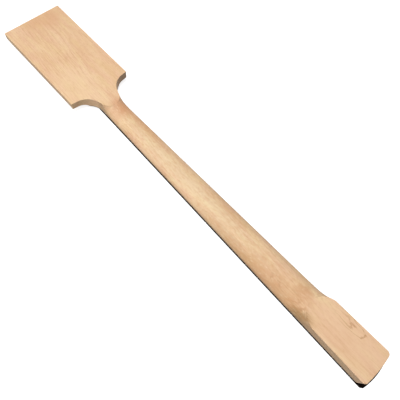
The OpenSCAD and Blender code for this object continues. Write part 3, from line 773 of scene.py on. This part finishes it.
# The tang reaches 3% of its depth into the crown, so that the two are one
tang = add(tree, "GeometryNodeMeshCube", {"Size": (2, 2, 1), "Vertices X": 2, "Vertices Y": 37,
                                          "Vertices Z": 2})
thinned = add(tree, "GeometryNodeSetPosition", {"Geometry": tang.outputs[0], "Position": add(
    tree, "ShaderNodeCombineXYZ", {
        "X": ("MULTIPLY", at["X"], ("DIVIDE", given["Tang width"], 2.0)), "Y": at["Y"],
        "Z": ("MULTIPLY", ("SUBTRACT", ("MULTIPLY", at["Z"], 1.03), 0.485), given["Tang depth"])
    }).outputs[0]})
wire = add(tree, "GeometryNodeJoinGeometry")
for part in (rounded, thinned):
    tree.links.new(part.outputs[0], wire.inputs[0])
laid = add(tree, "GeometryNodeInstanceOnPoints", {"Points": spaced.outputs[0], "Instance": wire.outputs[0]})
real = add(tree, "GeometryNodeRealizeInstances", {"Geometry": laid.outputs[0]})
# Each is cut 0.05 mm inside the board's edges, bevelled, and bent to the board's radius
edge_gap = 0.05 * mm
width = ("ADD", given["Nut half width"], ("MULTIPLY", at["X"], given["Taper"]))
across = add(tree, "ShaderNodeMath", {0: at["Y"], 1: ("SUBTRACT", ("SUBTRACT", width, edge_gap), (
    "MULTIPLY", ("MAXIMUM", at["Z"], 0.0), given["End bevel"]))}, operation="MULTIPLY").outputs[0]
round_r = ("ADD", given["Board radius"], at["Z"])
sunk = ("SUBTRACT", given["Board radius"], ("SQRT", ("SUBTRACT", ("MULTIPLY", round_r, round_r),
        ("MULTIPLY", across, across))))
bent_wire = add(tree, "GeometryNodeSetPosition", {"Geometry": real.outputs[0], "Position": add(
    tree, "ShaderNodeCombineXYZ", {"X": ("ADD", at["X"], given["Nut line"]), "Y": across,
                                   "Z": ("ADD", sunk, given["Crown line"])}).outputs[0]})
outward = add(tree, "GeometryNodeFlipFaces", {"Mesh": bent_wire.outputs[0]})
finished = add(tree, "GeometryNodeSetMaterial", {"Geometry": outward.outputs[0],
                                                 "Material": given["Finish"]})
add(tree, "NodeGroupOutput", {"Geometry": finished.outputs[0]})

frets = grown("frets_of_nickel_silver", tree, ids, sizes)
frets.data.set_sharp_from_angle(angle=math.radians(40))
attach(frets, "neck")
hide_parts(*[f"fret_{n}" for n in range(1, fret_count + 1)])

# ---------------------------------------------------------------- position dots
# Mother-of-pearl discs let into the board between the frets, and small ones in its bass edge, sanded
# flush.

# Mother of pearl, sanded and buffed: cool white under a thin gloss, with clouds 2 mm across that turn
# slightly pink and green
pearl, t = new_finish("mother_of_pearl")
place = add(t, "ShaderNodeTexCoord")
swirl = add(t, "ShaderNodeTexNoise", {"Vector": place.outputs["Object"], "Scale": 420.0, "Detail": 3.0,
                                      "Distortion": 1.6})
tone = add(t, "ShaderNodeValToRGB", {"Fac": swirl.outputs["Fac"]},
           stops=[(0.30, linear("D9DED6")), (0.72, linear("F3EFE6")), (0.52, linear("E9DEDC"))])
layers = add(t, "ShaderNodeBump", {"Strength": 0.15, "Distance": 0.00004, "Height": swirl.outputs["Fac"]})
shell = add(t, "ShaderNodeBsdfPrincipled", {
    "Base Color": tone.outputs["Color"], "Roughness": 0.22, "IOR": 1.53, "Coat Weight": 0.3,
    "Coat Roughness": 0.12, "Normal": layers.outputs["Normal"]})
add(t, "ShaderNodeOutputMaterial", {"Surface": shell.outputs[0]})

sizes = {"Scale length": scale_length * mm, "Nut half width": nut_half * mm, "Taper": taper,
         "Board radius": board_radius * mm, "Radius": 3.175 * mm, "Depth": 2.0 * mm, "Pair gap": 22.0 * mm,
         "Edge radius": 1.1 * mm, "Edge depth": 4.0 * mm, "Edge pair gap": 8.0 * mm, "Edge height": 3.95 * mm,
         "On the edge": 0.0, "Nut line": nut_line, "Crown line": crown, "Finish": pearl}
tree, given, ids = tree_of("dotting", sizes)
spots = add(tree, "GeometryNodeMeshLine", {"Count": 10, "Offset": (0, 0, 0)})
number = add(tree, "GeometryNodeInputIndex").outputs[0]
# Spots 0 to 7 are at frets 3, 5, 7, 9, 15, 17, 19 and 21, and spots 8 and 9 are the pair at fret 12
single = ("LESS_THAN", number, 7.5)
fret = ("ADD", ("MULTIPLY", single, ("ADD", ("MULTIPLY", number, 2.0), ("ADD", 3.0, (
        "MULTIPLY", ("GREATER_THAN", number, 3.5), 4.0)))), ("MULTIPLY", ("SUBTRACT", 1.0, single), 12.0))
sign = ("MULTIPLY", ("SUBTRACT", 1.0, single), ("SUBTRACT", ("MULTIPLY", number, 2.0), 17.0))
between = ("MULTIPLY", given["Scale length"], ("SUBTRACT", 1.0, ("DIVIDE", ("ADD",
           ("POWER", 2.0, ("DIVIDE", fret, -12.0)),
           ("POWER", 2.0, ("DIVIDE", ("SUBTRACT", 1.0, fret), 12.0))), 2.0)))
edge = given["On the edge"]
spot_x = ("ADD", between, ("MULTIPLY", edge, ("MULTIPLY", sign, ("DIVIDE", given["Edge pair gap"], 2.0))))
spot_y = ("MULTIPLY", ("SUBTRACT", 1.0, edge), ("MULTIPLY", sign, ("DIVIDE", given["Pair gap"], 2.0)))
spaced = add(tree, "GeometryNodeSetPosition", {"Geometry": spots.outputs[0], "Position": add(
    tree, "ShaderNodeCombineXYZ", {"X": spot_x, "Y": spot_y}).outputs[0]})
face_disc = add(tree, "GeometryNodeMeshCylinder", {
    "Vertices": 40, "Side Segments": 1, "Fill Segments": 3, "Radius": given["Radius"],
    "Depth": given["Depth"]})
edge_disc = add(tree, "GeometryNodeMeshCylinder", {
    "Vertices": 24, "Side Segments": 1, "Fill Segments": 2, "Radius": given["Edge radius"],
    "Depth": given["Edge depth"]})
raised = add(tree, "GeometryNodeTransform", {"Geometry": face_disc.outputs[0], "Translation": add(
    tree, "ShaderNodeCombineXYZ", {"Z": ("DIVIDE", given["Depth"], 2.0)}).outputs[0]})
turned = add(tree, "GeometryNodeTransform", {
    "Geometry": edge_disc.outputs[0], "Rotation": Euler((math.radians(-90), 0, 0)),
    "Translation": add(tree, "ShaderNodeCombineXYZ", {
        "Y": ("DIVIDE", given["Edge depth"], -2.0), "Z": given["Edge height"]}).outputs[0]})
chosen = add(tree, "GeometryNodeSwitch", {"Switch": ("GREATER_THAN", edge, 0.5),
                                          "False": raised.outputs[0], "True": turned.outputs[0]},
             input_type="GEOMETRY")
laid = add(tree, "GeometryNodeInstanceOnPoints", {"Points": spaced.outputs[0], "Instance": chosen.outputs[0]})
real = add(tree, "GeometryNodeRealizeInstances", {"Geometry": laid.outputs[0]})
at = add(tree, "ShaderNodeSeparateXYZ", {"Vector": add(tree, "GeometryNodeInputPosition").outputs[0]}).outputs
width = ("ADD", given["Nut half width"], ("MULTIPLY", at["X"], given["Taper"]))
dish = ("SUBTRACT", given["Board radius"], ("SQRT", ("SUBTRACT", (
        "MULTIPLY", given["Board radius"], given["Board radius"]), ("MULTIPLY", at["Y"], at["Y"]))))
flush = ("MULTIPLY", ("SUBTRACT", 1.0, ("DIVIDE", at["Z"], given["Depth"])), dish)
set_in = add(tree, "GeometryNodeSetPosition", {"Geometry": real.outputs[0], "Position": add(
    tree, "ShaderNodeCombineXYZ", {
        "X": ("ADD", at["X"], given["Nut line"]), "Y": ("ADD", at["Y"], ("MULTIPLY", edge, width)),
        "Z": ("ADD", ("ADD", at["Z"], given["Crown line"]), ("MULTIPLY", ("SUBTRACT", 1.0, edge), flush))
    }).outputs[0]})
finished = add(tree, "GeometryNodeSetMaterial", {"Geometry": set_in.outputs[0], "Material": given["Finish"]})
add(tree, "NodeGroupOutput", {"Geometry": finished.outputs[0]})

for name, prefix, octave, on_edge in (("face_dots_of_pearl", "face_dot_", ("12_bass", "12_treble"), 0.0),
                                      ("side_dots_of_pearl", "side_dot_", ("12_low", "12_high"), 1.0)):
    dots = grown(name, tree, ids, {**sizes, "On the edge": on_edge})
    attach(dots, "neck")
    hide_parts(*[prefix + str(n) for n in (3, 5, 7, 9, 15, 17, 19, 21, *octave)])

# ---------------------------------------------------------------- stage
# A white table under soft studio light. Seen by the camera the table and the room are white, and
# the table keeps the neck's shadow.

table_half, table_z = 6, cad_low.z - 0.2 * mm
table_mesh = bpy.data.meshes.new("table")
table_mesh.from_pydata([(x * table_half, y * table_half, table_z)
                        for x, y in ((-1, -1), (1, -1), (1, 1), (-1, 1))], [], [(0, 1, 2, 3)])
table = laid_out("table", table_mesh)


def seen(tree):
    """1 where it is looked at, straight, in a gloss or through glass, and 0 where it only lights."""
    path = add(tree, "ShaderNodeLightPath").outputs
    return ("MAXIMUM", path["Is Camera Ray"],
            ("MAXIMUM", path["Is Glossy Ray"], path["Is Transmission Ray"]))


# Matt paper, light grey under the lamps, and white where it is looked at
paper, t = new_finish("white_paper_sweep")
matt = add(t, "ShaderNodeBsdfDiffuse", {"Color": linear("BEBEBE"), "Roughness": 0.5})
white = add(t, "ShaderNodeEmission", {"Color": (1, 1, 1, 1), "Strength": ("MULTIPLY", seen(t), 0.84)})
mixed = add(t, "ShaderNodeAddShader", {0: matt.outputs[0], 1: white.outputs[0]})
add(t, "ShaderNodeOutputMaterial", {"Surface": mixed.outputs[0]})
table_mesh.materials.append(paper)
table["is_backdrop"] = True

world = bpy.data.worlds.new("studio")
bpy.context.scene.world = world
world.use_nodes = True
t = world.node_tree
t.nodes.clear()
level = add(t, "ShaderNodeMapRange", {"Value": seen(t), "To Min": 0.15, "To Max": 1.0})
sky = add(t, "ShaderNodeBackground", {"Color": (1, 1, 1, 1), "Strength": level.outputs["Result"]})
add(t, "ShaderNodeOutputWorld", {"Surface": sky.outputs[0]})

# A soft key light from above and a weak one from the treble side: each has its place, what it faces,
# its width and its watts
for name, place, target, size, watts in (
        ("key", (-0.06, -0.40, 1.84), (-0.10, 0, 0), 0.9, 29.8),
        ("fill", (-0.35, -1.25, 1.25), (-0.1, 0, 0), 1.0, 5.5)):
    lamp = bpy.data.lights.new(name, "AREA")
    lamp.size, lamp.energy = size, watts
    lamp_at = laid_out(name, lamp)
    lamp_at.location = place
    lamp_at.rotation_euler = (Vector(target) - Vector(place)).to_track_quat("-Z", "Y").to_euler()

# The camera stands over the treble side, nearer the heel, and looks down at the back
camera = laid_out("camera", bpy.data.cameras.new("camera"))
camera.location = (0.1739, -0.2203, 0.5294)
camera.rotation_euler = (math.radians(20.464), math.radians(-3.189), math.radians(48.263))
camera.data.sensor_width, camera.data.lens = 36, 31.0
camera.data.shift_x, camera.data.shift_y = 0.0840, 0.0438
camera.data.clip_start, camera.data.clip_end = 0.01, 50
bpy.context.scene.camera = camera

bpy.context.scene.view_settings.view_transform = "Standard"
low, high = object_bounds()
